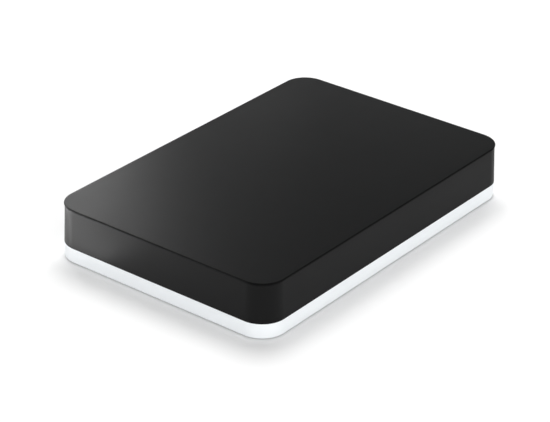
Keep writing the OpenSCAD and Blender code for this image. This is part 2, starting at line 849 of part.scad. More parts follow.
module rotor_magnet() {
    color("#4a4d52") at_spindle(2.3) difference() {
        cylinder(3, hub_skirt_r, hub_skirt_r);
        translate([0, 0, -1]) cylinder(5, stator_r + 0.3, stator_r + 0.3);
    }
}

module platter(z) {
    color("#d9dcdf") at_spindle(z) difference() {
        cylinder(platter_t, platter_r, platter_r);
        translate([0, 0, -1]) cylinder(3, disc_bore_r, disc_bore_r);
    }
}

module lower_platter() {
    platter(disc1_z);
}

module upper_platter() {
    platter(disc2_z);
}

module platter_spacer() {
    color("#9fa3a7") at_spindle(disc1_z + platter_t) difference() {
        cylinder(platter_gap, hub_flange_r, hub_flange_r);
        translate([0, 0, -1]) cylinder(4, disc_bore_r, disc_bore_r);
    }
}

// Dished spring washer on top of the stack
module platter_clamp() {
    bore = m2_head / 2 + 0.1;
    t = clamp_t;
    color("#b5b8bb") at_spindle(discs_top) rotate_extrude() polygon([
        [bore, 0], [8, 0], [9.4, 0.25], [10.4, 0], [hub_flange_r, 0],
        [hub_flange_r, t], [10.6, t], [9.4, t + 0.25], [8, t], [bore, t]
    ]);
}

module clamp_screw() {
    color("#8f9397") at_spindle(discs_top + clamp_t) flat_screw(2.3, 3.2, 0.6);
}

// Head arm

// Outline of one arm: a taper from the bearing, with a lightening hole
module arm_plan() {
    root = 5.2;
    difference() {
        union() {
            circle(eblock_r);
            polygon([[0, -root], [arm_l, -arm_end_r], [arm_l, arm_end_r], [0, root]]);
            translate([arm_l, 0]) circle(arm_end_r);
        }
        circle(sleeve_r);
        translate([11.6, 0]) circle(1.9);
    }
}

// One block around the bearing with three arms: under, between and over the platters
module arm_block() {
    color("#c0c3c6") {
        at_pivot(park_angle, arm_bottom) linear_extrude(arm_t) arm_plan();
        at_pivot(park_angle, blade_z[1] + blade_t)
            linear_extrude(blade_z[2] - blade_z[1] - blade_t) arm_plan();
        at_pivot(park_angle, arm_top - arm_t) linear_extrude(arm_t) arm_plan();
        at_pivot(park_angle, arm_bottom) difference() {
            cylinder(arm_top - arm_bottom, eblock_r, eblock_r);
            translate([0, 0, -1]) cylinder(10, sleeve_r, sleeve_r);
        }
    }
}

module pivot_sleeve() {
    color("#9da1a5") at_pivot(0, arm_bottom) difference() {
        cylinder(arm_top - arm_bottom, sleeve_r, sleeve_r);
        translate([0, 0, -1]) cylinder(10, shaft_r + running_gap, shaft_r + running_gap);
    }
}

module pivot_shaft() {
    color("#d0d3d6") at_pivot(0, shaft_z) difference() {
        union() {
            cylinder(rim_z + 0.1 - shaft_z, shaft_r, shaft_r);
            translate([0, 0, cavity_z - shaft_z]) cylinder(0.15, 3, 3);
        }
        translate([0, 0, 4.2]) cylinder(5, m2_core, m2_core);
    }
}

// Four spring blades, each with a tab at its tip that rides on the ramp
module head_suspensions() {
    root = arm_l - 2;
    waist = arm_l + 2.5;
    tip = head_reach + 1;
    tab = tip + 1.8;
    color("#d7d9db") for (z = blade_z)
        at_pivot(park_angle, z) linear_extrude(blade_t) polygon([
            [root, -2.2], [waist, -2.2], [tip - 2, -0.75], [tip, -0.75], [tip, -0.4], [tab, -0.4],
            [tab, 0.4], [tip, 0.4], [tip, 0.75], [tip - 2, 0.75], [waist, 2.2], [root, 2.2]
        ]);
}

module head_sliders() {
    color("#3b3d40") for (z = slider_z)
        at_pivot(park_angle, z) translate([head_reach - 0.6, -0.4, 0]) cube([1.2, 0.8, slider_t]);
}

// Wedge shape of the coil, its corners rounded by r
module coil_outline(r) {
    hull() {
        for (side = [-1, 1]) {
            translate([coil_near, side * coil_near_half]) circle(r, $fn = 32);
            translate([coil_far, side * coil_far_half]) circle(r, $fn = 32);
        }
    }
}

module voice_coil() {
    color("#b4632f") at_pivot(coil_angle, frame_z + (frame_t - coil_t) / 2)
        linear_extrude(coil_t) difference() {
            coil_outline(coil_out_r);
            coil_outline(coil_in_r);
        }
}

module coil_frame() {
    color("#2a2c30") at_pivot(coil_angle, frame_z) linear_extrude(frame_t) difference() {
        union() {
            coil_outline(frame_r);
            translate([4, -4.2]) square([8, 8.4]);
        }
        circle(eblock_r);
        coil_outline(coil_out_r);
    }
}

// Outline of a magnet plate: a wedge of ring with an ear at each stop
module plate_outline() {
    difference() {
        union() {
            ring_sector(plate_r_in, plate_r_out, coil_angle - plate_reach, coil_end_angle + plate_reach);
            ring_sector(stop_r_far - stem_half, stop_r_far + stem_half, stop_angles[0], stop_angles[1]);
            for (a = stop_angles) rotate(a) translate([stop_r_far, 0]) circle(ear_r);
        }
        for (a = stop_angles) rotate(a) translate([stop_r_far, 0]) circle(post_pin_r);
    }
}

module magnet_outline() {
    ring_sector(magnet_r_in, magnet_r_out, coil_angle - magnet_reach, coil_end_angle + magnet_reach);
}

module lower_magnet_plate() {
    color("#a4a8ac") at_pivot(0, lower_plate_z) linear_extrude(plate_t) plate_outline();
}

module upper_magnet_plate() {
    color("#a4a8ac") at_pivot(0, upper_plate_z) linear_extrude(plate_t) plate_outline();
}

module lower_magnet() {
    color("#c9ccd0") at_pivot(0, lower_plate_z + plate_t) linear_extrude(magnet_t) magnet_outline();
}

module upper_magnet() {
    color("#c9ccd0") at_pivot(0, upper_magnet_z) linear_extrude(magnet_t) magnet_outline();
}

module magnet_posts() {
    low = lower_plate_z + plate_t;
    color("#c5c8cb") for (a = stop_angles)
        at_pivot(a) translate([stop_r_far, 0, 0]) {
            translate([0, 0, cavity_z - 0.7]) cylinder(0.7 + plate_t + eps, post_pin_r, post_pin_r);
            translate([0, 0, low]) cylinder(upper_plate_z - low, post_r, post_r);
            translate([0, 0, upper_plate_z - eps]) cylinder(plate_t, post_pin_r, post_pin_r);
        }
}

module crash_stops() {
    color("#2f3033") for (a = stop_angles)
        at_pivot(a, frame_z - 0.1) translate([stop_r_far, 0, 0]) difference() {
            cylinder(frame_t + 0.2, stop_r, stop_r);
            translate([0, 0, -1]) cylinder(5, post_r, post_r);
        }
}

// Comb of thin fingers that the tabs climb when the heads park
module head_ramp() {
    tab_near = head_reach + 0.8;
    spine_near = head_reach + 3.2;
    spine_far = head_reach + 6;
    cleared_r = platter_r + 0.5;
    color("#d9d3c0") difference() {
        union() {
            at_pivot(0, cavity_z) linear_extrude(5.4)
                ring_sector(spine_near, spine_far, park_angle - 6, park_angle + 1);
            for (z = [[blade_z[0] + blade_t, blade_z[1]], [blade_z[2] + blade_t, blade_z[3]]])
                at_pivot(0, z[0] + 0.02) linear_extrude(z[1] - z[0] - 0.04)
                    ring_sector(tab_near, spine_near + 0.5, park_angle - 6, park_angle + 5);
            at_pivot(0, cavity_z) linear_extrude(ramp_foot_t)
                ring_sector(spine_far - 1, spine_far + 4, park_angle - 9, park_angle);
        }
        for (z = [disc1_z, disc2_z])
            at_spindle(z - 0.12) cylinder(platter_t + 0.24, cleared_r, cleared_r);
        translate([ramp_screw_place[0], ramp_screw_place[1], drive_z + cavity_z - 1])
            cylinder(4, 0.9, 0.9);
    }
}

module ramp_screw() {
    seat = drive_z + cavity_z + ramp_foot_t;
    color("#8f9397") translate([ramp_screw_place[0], ramp_screw_place[1], seat]) flat_screw(1.9, 1.6, 0.6);
}

// Flat ribbon on edge, looped from the bracket to the side of the arm block
module head_flex() {
    ribbon_t = 0.15;
    loop_r = 4.9;
    color("#b3703a") translate([pivot[0] - 6.5, pivot[1] + 9.5, drive_z + 3.9]) linear_extrude(3.6) {
        ring_sector(loop_r - ribbon_t / 2, loop_r + ribbon_t / 2, -48, 90);
        translate([-4.4, loop_r - ribbon_t / 2]) square([4.4 + eps, ribbon_t]);
    }
}

module flex_bracket() {
    color("#33363a") translate([pivot[0] - 21, pivot[1] + 12.2, drive_z + cavity_z]) {
        difference() {
            cube([10.1, 4.4, 5]);
            translate([1, 1, 3.6]) cube([8.1, 2.4, 3]);
        }
        translate([-3, 0.7, 0]) cube([3.01, 3, 1.2]);
    }
}

module air_filter() {
    color("#f0f0ea") translate([-30.6, drive_front + 72, drive_z + cavity_z]) {
        for (i = [0 : 4])
            translate([0, 2 * i, 0]) cube([1.6, 1.4, 5.2]);
        translate([-0.6, 0, 0]) cube([0.61, 9.4, 5.2]);
    }
}

module breather_cartridge() {
    color("#e5e5de") translate([-25, drive_rear - 17.6, drive_z + cavity_z]) {
        cube([10, 9, 3.4]);
        translate([5, 4.5, 3.4 - eps]) cylinder(0.5, 2.6, 2.6);
    }
}

top_panel();
upper_shell();
lower_shell();
rubber_feet();
corner_bumpers();
upper_foam_pad();
lower_foam_pad();
bridge_board();
bridge_chip();
bridge_small_parts();
bridge_screws();
usb_socket_shell();
usb_socket_tongues();
usb_contacts();
sata_receptacle();
activity_led();
light_pipe();
drive_base();
drive_cover();
cover_gasket();
cover_screws();
drive_board();
controller_chip();
memory_chip();
motor_chip();
board_small_parts();
board_insulator();
board_screws();
drive_connector();
drive_contacts();
motor_sleeve();
stator_core();
stator_coils();
spindle_hub();
rotor_magnet();
lower_platter();
upper_platter();
platter_spacer();
platter_clamp();
clamp_screw();
arm_block();
pivot_sleeve();
pivot_shaft();
head_suspensions();
head_sliders();
coil_frame();
voice_coil();
lower_magnet_plate();
upper_magnet_plate();
lower_magnet();
upper_magnet();
magnet_posts();
crash_stops();
head_ramp();
ramp_screw();
head_flex();
flex_bracket();
air_filter();
breather_cartridge();
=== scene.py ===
import math

import bmesh
import bpy
from mathutils import Matrix, Vector


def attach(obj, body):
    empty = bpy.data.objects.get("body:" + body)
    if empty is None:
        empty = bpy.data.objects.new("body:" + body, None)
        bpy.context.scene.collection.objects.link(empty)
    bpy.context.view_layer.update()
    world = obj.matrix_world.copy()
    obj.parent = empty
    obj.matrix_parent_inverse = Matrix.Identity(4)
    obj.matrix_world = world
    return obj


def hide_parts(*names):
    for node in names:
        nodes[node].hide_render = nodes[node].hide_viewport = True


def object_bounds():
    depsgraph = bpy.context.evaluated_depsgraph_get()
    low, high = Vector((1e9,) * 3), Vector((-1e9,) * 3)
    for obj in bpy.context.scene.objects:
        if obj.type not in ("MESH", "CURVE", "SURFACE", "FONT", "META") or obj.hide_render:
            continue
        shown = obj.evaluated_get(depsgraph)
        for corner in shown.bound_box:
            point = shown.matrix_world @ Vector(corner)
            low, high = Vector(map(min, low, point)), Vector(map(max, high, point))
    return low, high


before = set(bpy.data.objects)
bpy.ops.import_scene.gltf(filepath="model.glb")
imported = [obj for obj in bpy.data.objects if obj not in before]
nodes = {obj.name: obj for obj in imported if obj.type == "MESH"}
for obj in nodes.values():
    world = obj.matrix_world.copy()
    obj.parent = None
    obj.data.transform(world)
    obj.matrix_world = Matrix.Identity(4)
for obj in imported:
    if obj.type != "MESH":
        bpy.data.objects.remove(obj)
cad_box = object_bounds()
MM = 0.001

# White shell
# The lower half of the case, injection moulded in white plastic with a soft gloss. Ten catches on its
# tongue snap into the black shell. Its sharp outer edges are rounded as a mould leaves them.
SEAM_ROUND = 0.06 * MM
CORNER = 8 * MM
OUTSIDE = 0.75 * MM
SHARP = math.radians(25)
CREASE = math.radians(40)
FLAT = math.radians(0.5)
SAME_POINT = 1e-7
WHITES = ((0.86, 0.89, 0.91, 1), (0.89, 0.92, 0.94, 1))


class Wire:
    """One output of a node in a finish. Arithmetic on it adds Math nodes."""

    def __init__(self, tree, socket=None):
        self.tree = tree
        self.socket = socket

    def node(self, kind, inputs, output=0, **settings):
        """Adds a node: its settings, then numbers, colours or wires by the name or number of an input."""
        made = self.tree.nodes.new(kind)
        for name, setting in settings.items():
            setattr(made, name, setting)
        for name, value in inputs.items():
            plug(value, made.inputs[name])
        return Wire(self.tree, made.outputs[output])

    def maths(self, operation, first, second=0.0):
        return self.node("ShaderNodeMath", {0: first, 1: second}, operation=operation)

    def __add__(self, other):
        return self.maths("ADD", self, other)

    def __radd__(self, other):
        return self.maths("ADD", other, self)

    def __sub__(self, other):
        return self.maths("SUBTRACT", self, other)

    def __rsub__(self, other):
        return self.maths("SUBTRACT", other, self)

    def __mul__(self, other):
        return self.maths("MULTIPLY", self, other)

    def __rmul__(self, other):
        return self.maths("MULTIPLY", other, self)

    def __truediv__(self, other):
        return self.maths("DIVIDE", self, other)

    def __rtruediv__(self, other):
        return self.maths("DIVIDE", other, self)

    def wave(self):
        """Sine of a count of whole turns, from 0 to 1."""
        return self.maths("SINE", self * (2 * math.pi)) * 0.5 + 0.5


def plug(value, target):
    """Links a wire to an input of a node, or sets the input to a number or colour."""
    if isinstance(value, Wire):
        value.tree.links.new(value.socket, target)
    else:
        target.default_value = value


class Finish:
    """A material for one slot: even numbers on its shader, and patterns wired into it."""

    def __init__(self, slot, **even):
        self.slot = slot
        self.material = bpy.data.materials.new(slot + "_finish")
        self.material.use_nodes = True
        tree = self.material.node_tree
        self.shader = next(n for n in tree.nodes if n.type == "BSDF_PRINCIPLED")
        for socket, value in even.items():
            self.shader.inputs[socket.replace("_", " ")].default_value = value
        self.place = Wire(tree).node("ShaderNodeTexCoord", {}, "Object")

    def clouds(self, size, layers=2.0, fine=0.5, stretch=None):
        """Soft pattern from 0 to 1 with patches of about this size, under finer layers of its own."""
        place = self.place
        if stretch:
            place = place.node("ShaderNodeMapping", {"Vector": place, "Scale": stretch})
        return place.node("ShaderNodeTexNoise", {
            "Vector": place, "Scale": 1 / size, "Detail": layers, "Roughness": fine,
        })

    def cells(self, size):
        """Distance from the nearest of many scattered points, as a share of how far apart they are."""
        return self.place.node("ShaderNodeTexVoronoi", {"Vector": self.place, "Scale": 1 / size})

    def along(self, axis):
        """Place along one axis, in metres."""
        return self.place.node("ShaderNodeSeparateXYZ", {0: self.place}, "XYZ".index(axis))

    def step(self, pattern, edge, softness):
        """0 where the pattern is below the edge, 1 where it is above."""
        return self.place.node("ShaderNodeMapRange", {
            "Value": pattern, "From Min": edge - softness, "From Max": edge + softness,
        }, clamp=True, interpolation_type="SMOOTHSTEP")

    def between(self, pattern, ends):
        """Number that goes from the first to the second as the pattern goes from 0 to 1."""
        low, high = ends
        return self.place.node("ShaderNodeMapRange", {
            "Value": pattern, "To Min": low, "To Max": high,
        }, clamp=True)

    def blend(self, pattern, colours):
        """Colour that goes from the first to the second as the pattern goes from 0 to 1."""
        low, high = colours
        return self.place.node("ShaderNodeMix", {0: pattern, 6: low, 7: high}, 2, data_type="RGBA")

    def colour(self, pattern, colours):
        plug(self.blend(pattern, colours), self.shader.inputs["Base Color"])

    def rough(self, pattern, ends):
        plug(self.between(pattern, ends), self.shader.inputs["Roughness"])

    def raised(self, pattern, depth, strength=1.0):
        """Bumps of this depth, in metres, where the pattern is 1."""
        bump = self.place.node("ShaderNodeBump", {
            "Strength": strength, "Distance": depth, "Height": pattern,
        })
        plug(bump, self.shader.inputs["Normal"])

    def mottled(self, grain, colours, rough, depth):
        """Fine grain of this size in colour, roughness and height."""
        pattern = self.clouds(grain, 3.0, 0.6)
        self.colour(pattern, colours)
        self.rough(pattern, rough)
        self.raised(pattern, depth)

    def on(self, *pieces):
        """Puts the finish on new pieces, or on CAD nodes by name."""
        for piece in pieces:
            piece = nodes.get(piece, piece)
            piece.data.materials.clear()
            piece.data.materials.append(self.material)


def outer(edge):
    """True where an edge lies on the outside of the case, whose upright corners are round."""
    low, high = cad_box
    for vert in edge.verts:
        x, y, _ = vert.co
        in_x = min(x - low.x, high.x - x)
        in_y = min(y - low.y, high.y - y)
        if in_x < CORNER and in_y < CORNER:
            inside = CORNER - math.hypot(CORNER - in_x, CORNER - in_y)
        else:
            inside = min(in_x, in_y)
        if inside > OUTSIDE:
            return False
    return True


def softened(node, radius):
    """New piece in a CAD node's place, with its sharp outer edges rounded to a radius."""
    work = bmesh.new()
    work.from_mesh(nodes[node].data)
    bmesh.ops.remove_doubles(work, verts=work.verts, dist=SAME_POINT)
    bmesh.ops.dissolve_limit(work, angle_limit=FLAT, verts=work.verts, edges=work.edges)
    folds = [e for e in work.edges if len(e.link_faces) == 2 and e.calc_face_angle(0) > SHARP]
    bmesh.ops.bevel(
        work, geom=[e for e in folds if outer(e)], offset=radius, offset_type="OFFSET", affect="EDGES",
        segments=3, profile=0.5, material=-1, clamp_overlap=True,
    )
    bmesh.ops.triangulate(work, faces=[f for f in work.faces if len(f.verts) > 4])
    mesh = bpy.data.meshes.new(node + "_moulded")
    work.to_mesh(mesh)
    work.free()
    mesh.shade_smooth()
    mesh.set_sharp_from_angle(angle=CREASE)
    piece = bpy.data.objects.new(node + "_moulded", mesh)
    bpy.context.scene.collection.objects.link(piece)
    shading = piece.modifiers.new("even normals", "WEIGHTED_NORMAL")
    shading.keep_sharp = True
    shading.weight = 100
    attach(piece, "case")
    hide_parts(node)
    return piece


white_plastic = Finish("white_plastic", Specular_IOR_Level=0.15)
white_grain = white_plastic.clouds(0.4 * MM)
white_plastic.colour(white_plastic.clouds(20 * MM), WHITES)
white_plastic.rough(white_grain, (0.36, 0.44))
white_plastic.raised(white_grain, depth=0.004 * MM, strength=0.5)
white_plastic.on(softened("lower_shell", SEAM_ROUND))

# Feet
# Four round pads of soft grey rubber with a broken edge, stuck in shallow recesses of the base.


def greys(dark, light, blue=0.0):
    """Pair of greys of these linear values, tinted a little towards blue."""
    return [(value, value * (1 + blue / 2), value * (1 + blue), 1) for value in (dark, light)]


grey_rubber = Finish("grey_rubber", Specular_IOR_Level=0.25)
grey_rubber.mottled(grain=0.5 * MM, colours=greys(0.50, 0.58), rough=(0.7, 0.85), depth=0.02 * MM)
grey_rubber.on("rubber_feet")

# Casting of the disk drive
# The tray that holds the platters and the motor, pressure die cast in aluminium. Its skin is a fine
# mottled grey, a little rough from the mould.
cast_aluminium = Finish("cast_aluminium", Metallic=1.0)
skin = cast_aluminium.clouds(2.2 * MM, 4.0, 0.6)
sand = cast_aluminium.clouds(0.2 * MM)
cast_aluminium.colour(skin, greys(0.36, 0.47))
cast_aluminium.rough(skin * 0.5 + sand * 0.5, (0.42, 0.62))
cast_aluminium.raised(sand, depth=0.03 * MM)
cast_aluminium.on("drive_base")

# Spindle motor
# A bronze sleeve, a core stacked from thin steel sheets, nine coils of lacquered copper wire, and a ring
# magnet of bonded powder that is glued in the hub. The arm's voice coil is wound from the same wire.
BRONZES = ((0.44, 0.30, 0.12, 1), (0.54, 0.40, 0.19, 1))
COPPERS = ((0.34, 0.12, 0.04, 1), (0.76, 0.34, 0.15, 1))
SHEET_T = 0.35 * MM
WIRE_D = 0.22 * MM
bearing_bronze = Finish("bearing_bronze", Metallic=1.0)
bearing_bronze.mottled(grain=0.4 * MM, colours=BRONZES, rough=(0.25, 0.4), depth=0.003 * MM)
bearing_bronze.on("motor_sleeve")

motor_steel = Finish("motor_steel", Metallic=1.0)
sheets = (motor_steel.along("Z") / SHEET_T).wave()
motor_steel.colour(sheets, greys(0.20, 0.34))
motor_steel.rough(motor_steel.clouds(0.3 * MM), (0.35, 0.5))
motor_steel.raised(sheets, depth=0.02 * MM)
motor_steel.on("stator_core")

copper_wire = Finish("copper_wire", Metallic=1.0)
across_turns = copper_wire.along("X") + copper_wire.along("Y") + copper_wire.along("Z")
turns = (across_turns / WIRE_D).wave()
copper_wire.colour(turns, COPPERS)
copper_wire.rough(turns, (0.4, 0.25))
copper_wire.raised(turns, depth=0.05 * MM)
copper_wire.on("stator_coils", "voice_coil")

magnet_dark = Finish("magnet_dark", Metallic=0.6)
magnet_dark.mottled(grain=0.2 * MM, colours=greys(0.09, 0.15), rough=(0.45, 0.6), depth=0.01 * MM)
magnet_dark.on("rotor_magnet")

# Hub, spacer, arm block and pivot sleeve
# Turned and milled from aluminium bar, with the fine marks of the tool. The hub carries the platters with
# the spacer between them, and the arm block sits round the pivot sleeve.
machined = Finish("machined_aluminium", Metallic=1.0)
tool_marks = machined.clouds(0.08 * MM, 2.0, 0.6, stretch=(1, 1, 0.1))
machined.colour(tool_marks, greys(0.60, 0.70))
machined.rough(tool_marks, (0.2, 0.34))
machined.raised(tool_marks, depth=0.001 * MM)
machined.on("spindle_hub", "platter_spacer", "arm_block", "pivot_sleeve")

# Platters
# Two discs polished to a mirror and clamped on the hub. The colour of the thin magnetic film on them
# drifts a trace from place to place.
FILMS = ((0.74, 0.755, 0.78, 1), (0.82, 0.83, 0.84, 1))
platter_mirror = Finish("platter_mirror", Metallic=1.0)
film = platter_mirror.clouds(20 * MM, 1.0)
platter_mirror.colour(film, FILMS)
platter_mirror.rough(film, (0.02, 0.05))
platter_mirror.on("lower_platter", "upper_platter")

# Platter clamp and head blades
# Pressed and etched from thin stainless spring sheet, with the soft shine of the rolled strip. The clamp
# is screwed down on the stack, and the four blades carry the heads.
spring_steel = Finish("spring_steel", Metallic=1.0)
rolled = spring_steel.clouds(0.15 * MM, 2.0, 0.6, stretch=(0.05, 1, 1))
spring_steel.colour(rolled, greys(0.62, 0.72))
spring_steel.rough(rolled, (0.18, 0.3))
spring_steel.raised(rolled, depth=0.001 * MM)
spring_steel.on("platter_clamp", "head_suspensions")

# Head sliders
# Tiny blocks sawn from a hard dark ceramic, polished on the side that flies over the disc, and bonded to
# the tips of the blades.
slider_ceramic = Finish("slider_ceramic", Specular_IOR_Level=0.7)
slider_ceramic.mottled(grain=0.08 * MM, colours=greys(0.045, 0.075), rough=(0.15, 0.28), depth=0.001 * MM)
slider_ceramic.on("head_sliders")

# Coil frame and ribbon bracket
# Moulded in dark plastic. The frame is cast round the voice coil, and the bracket on the casting carries
# the ribbon's end.
frame_plastic = Finish("frame_plastic", Specular_IOR_Level=0.4)
frame_plastic.mottled(grain=0.3 * MM, colours=greys(0.022, 0.04, 0.1), rough=(0.42, 0.6), depth=0.004 * MM)
frame_plastic.on("coil_frame", "flex_bracket")

# Magnets and their plates
# Steel plates and sintered magnets above and below the voice coil, all nickel plated. The plating of the
# plates is warmer and a little cloudy.
NICKELS = ((0.60, 0.585, 0.56, 1), (0.72, 0.705, 0.68, 1))
nickel_plate = Finish("nickel_plate", Metallic=1.0)
nickel_plate.mottled(grain=1.2 * MM, colours=NICKELS, rough=(0.14, 0.28), depth=0.003 * MM)
nickel_plate.on("lower_magnet_plate", "upper_magnet_plate")

magnet_nickel = Finish("magnet_nickel", Metallic=1.0)
magnet_nickel.mottled(grain=0.6 * MM, colours=greys(0.64, 0.76), rough=(0.2, 0.34), depth=0.004 * MM)
magnet_nickel.on("lower_magnet", "upper_magnet")

# Crash stops and head ramp
# Rubber tubes slipped over the magnet posts stop the arm. A comb of slick natural plastic, held by one
# screw, lifts the heads off the discs.
NATURALS = ((0.66, 0.60, 0.46, 1), (0.75, 0.69, 0.55, 1))
stop_rubber = Finish("stop_rubber", Specular_IOR_Level=0.25)
stop_rubber.mottled(grain=0.3 * MM, colours=greys(0.03, 0.05), rough=(0.6, 0.75), depth=0.01 * MM)
stop_rubber.on("crash_stops")

ramp_plastic = Finish("ramp_plastic", Specular_IOR_Level=0.45)
ramp_plastic.mottled(grain=0.7 * MM, colours=NATURALS, rough=(0.3, 0.42), depth=0.004 * MM)
ramp_plastic.on("head_ramp")

# Ribbon to the head arm
# Amber film with copper lines along it, set on edge in a loop from the bracket to the arm block.
AMBER = (0.42, 0.17, 0.04, 1)
COPPER_UNDER_FILM = (0.62, 0.32, 0.13, 1)
LINE_PITCH = 0.45 * MM
flex_film = Finish("flex_film")
lines = flex_film.step((flex_film.along("Z") / LINE_PITCH).wave(), edge=0.6, softness=0.1)
flex_film.colour(lines, (AMBER, COPPER_UNDER_FILM))
flex_film.rough(flex_film.clouds(0.5 * MM), (0.25, 0.38))
flex_film.raised(lines, depth=0.02 * MM)
flex_film.on("head_flex")

# Air filters
# A pleated strip of white felt at the wall of the casting, and a breather cartridge near it, both of
# non-woven fibre.
FELTS = ((0.72, 0.72, 0.67, 1), (0.88, 0.88, 0.84, 1))
filter_paper = Finish("filter_paper", Specular_IOR_Level=0.1)
fibres = filter_paper.clouds(0.2 * MM, 4.0, 0.75, stretch=(1, 0.25, 1))
filter_paper.colour(fibres, FELTS)
filter_paper.rough(fibres, (0.85, 1.0))
filter_paper.raised(fibres, depth=0.05 * MM)
filter_paper.on("air_filter", "breather_cartridge")

# Cover and seal of the disk drive
# A lid stamped from stainless sheet and brushed along its length, screwed down on a thin seal of black
# foam rubber.
cover_steel = Finish("cover_steel", Metallic=1.0)
brushed = cover_steel.clouds(0.12 * MM, 3.0, 0.7, stretch=(1, 0.02, 1))
cover_steel.colour(brushed, greys(0.52, 0.64))
cover_steel.rough(brushed, (0.24, 0.40))
cover_steel.raised(brushed, depth=0.004 * MM)
cover_steel.on("drive_cover")

gasket_black = Finish("gasket_black", Specular_IOR_Level=0.2)
gasket_black.mottled(grain=0.3 * MM, colours=greys(0.014, 0.028), rough=(0.75, 0.9), depth=0.02 * MM)
gasket_black.on("cover_gasket")

# Board of the disk drive
# A circuit board of glass fibre under dark green lacquer, its parts towards the casting, with a sheet of
# grey foam between the two. Its copper tracks show through in paler green, and its holes are tinned.
TRACK_PITCH = 0.9 * MM
TRACK_BLOCK = 7 * MM
HOLE_PITCH = 2.4 * MM
TIN = (0.50, 0.49, 0.42, 1)
DARK_GREENS = ((0.008, 0.065, 0.035, 1), (0.02, 0.13, 0.07, 1))


def lacquered(slot, greens):
    """Circuit board finish: blocks of copper tracks along or across the board, and tinned holes."""
    board = Finish(slot)
    weave = board.clouds(0.25 * MM)
    blocks = board.place.node("ShaderNodeTexVoronoi", {
        "Vector": board.place, "Scale": 1 / TRACK_BLOCK,
    }, "Color", distance="CHEBYCHEV")
    across = board.step(blocks.node("ShaderNodeSeparateColor", {0: blocks}, 0), edge=0.5, softness=0.01)
    filled = board.step(blocks.node("ShaderNodeSeparateColor", {0: blocks}, 1), edge=0.35, softness=0.01)
    run = board.along("X") * across + board.along("Y") * (1 - across)
    tracks = board.step((run / TRACK_PITCH).wave(), edge=0.7, softness=0.1) * filled
    holes = 1 - board.step(board.cells(HOLE_PITCH), edge=0.1, softness=0.02)
    board.colour(holes, (board.blend(tracks, greens), TIN))
    board.rough(weave, (0.28, 0.42))
    board.raised(tracks + weave * 0.3, depth=0.03 * MM)
    return board


lacquered("drive_board_green", DARK_GREENS).on("drive_board")

insulator_grey = Finish("insulator_grey", Specular_IOR_Level=0.15)
insulator_grey.mottled(grain=0.3 * MM, colours=greys(0.045, 0.08), rough=(0.8, 0.95), depth=0.03 * MM)
insulator_grey.on("board_insulator")

# Chips
# Blocks of moulded black resin, soldered to the drive's board and to the bridge board.
chip_resin = Finish("chip_resin", Specular_IOR_Level=0.4)
chip_resin.mottled(grain=0.12 * MM, colours=greys(0.022, 0.038), rough=(0.5, 0.68), depth=0.01 * MM)
chip_resin.on("bridge_chip", "controller_chip", "memory_chip", "motor_chip")

# Small parts of both boards
# Fired ceramic capacitors, resistors and a crystal in its can, set by machine and soldered. Tan and grey
# bodies stand side by side.
TAN = (0.36, 0.25, 0.14, 1)
CERAMIC_GREY = (0.46, 0.44, 0.41, 1)
FIRED_BROWN = (0.16, 0.12, 0.08, 1)
component_mix = Finish("component_mix")
kinds = component_mix.step(component_mix.clouds(3 * MM, 0.0), edge=0.5, softness=0.02)
speckle = component_mix.clouds(0.1 * MM)
component_mix.colour(speckle * 0.4, (component_mix.blend(kinds, (TAN, CERAMIC_GREY)), FIRED_BROWN))
component_mix.rough(speckle, (0.35, 0.55))
component_mix.raised(speckle, depth=0.01 * MM)
component_mix.on("bridge_small_parts", "board_small_parts")

# Black connector bodies
# Injection moulded in glass filled plastic, which leaves a faint flow pattern. They hold the contacts.
connector_black = Finish("connector_black", Specular_IOR_Level=0.45)
connector_black.mottled(
    grain=0.25 * MM, colours=greys(0.014, 0.026), rough=(0.42, 0.58), depth=0.008 * MM,
)
connector_black.on("usb_socket_tongues", "sata_receptacle", "drive_connector")

# Screws, posts and shaft
# Turned or cold headed from steel and plated, with a faint cloudiness in the plating.
screw_steel = Finish("screw_steel", Metallic=1.0)
screw_steel.mottled(grain=0.3 * MM, colours=greys(0.46, 0.58), rough=(0.22, 0.38), depth=0.004 * MM)
screw_steel.on("bridge_screws", "cover_screws", "board_screws", "clamp_screw", "ramp_screw")
screw_steel.on("pivot_shaft", "magnet_posts")

# Bridge board
# A small circuit board of glass fibre under brighter green lacquer, held on two bosses of the white
# shell by screws.
BRIGHT_GREENS = ((0.012, 0.10, 0.045, 1), (0.03, 0.19, 0.09, 1))
lacquered("bridge_board_green", BRIGHT_GREENS).on("bridge_board")

# Cable socket
# A shell folded from bright tinned steel sheet round two moulded tongues that carry gold springs. It is
# soldered to the bridge board. The drive's own contacts have the same gold.
GOLDS = ((0.78, 0.55, 0.21, 1), (0.90, 0.68, 0.30, 1))
socket_steel = Finish("socket_steel", Metallic=1.0)
socket_steel.mottled(grain=0.8 * MM, colours=greys(0.56, 0.66), rough=(0.18, 0.3), depth=0.003 * MM)
socket_steel.on("usb_socket_shell")

gold_contact = Finish("gold_contact", Metallic=1.0)
gold_contact.mottled(grain=0.3 * MM, colours=GOLDS, rough=(0.15, 0.28), depth=0.002 * MM)
gold_contact.on("usb_contacts", "drive_contacts")

# Activity light
# A diode in milky epoxy on the bridge board, and a clear moulded rod that leads its light out through a
# hole in the rear wall.
MILKS = ((0.80, 0.83, 0.72, 1), (0.88, 0.90, 0.84, 1))
CLEARS = ((0.86, 0.90, 0.92, 1), (0.94, 0.96, 0.97, 1))
led_white = Finish("led_white")
led_white.mottled(grain=0.4 * MM, colours=MILKS, rough=(0.2, 0.32), depth=0.002 * MM)
led_white.on("activity_led")

clear_plastic = Finish("clear_plastic", Transmission_Weight=0.85, IOR=1.49)
clear_plastic.mottled(grain=0.6 * MM, colours=CLEARS, rough=(0.08, 0.2), depth=0.004 * MM)
clear_plastic.on("light_pipe")

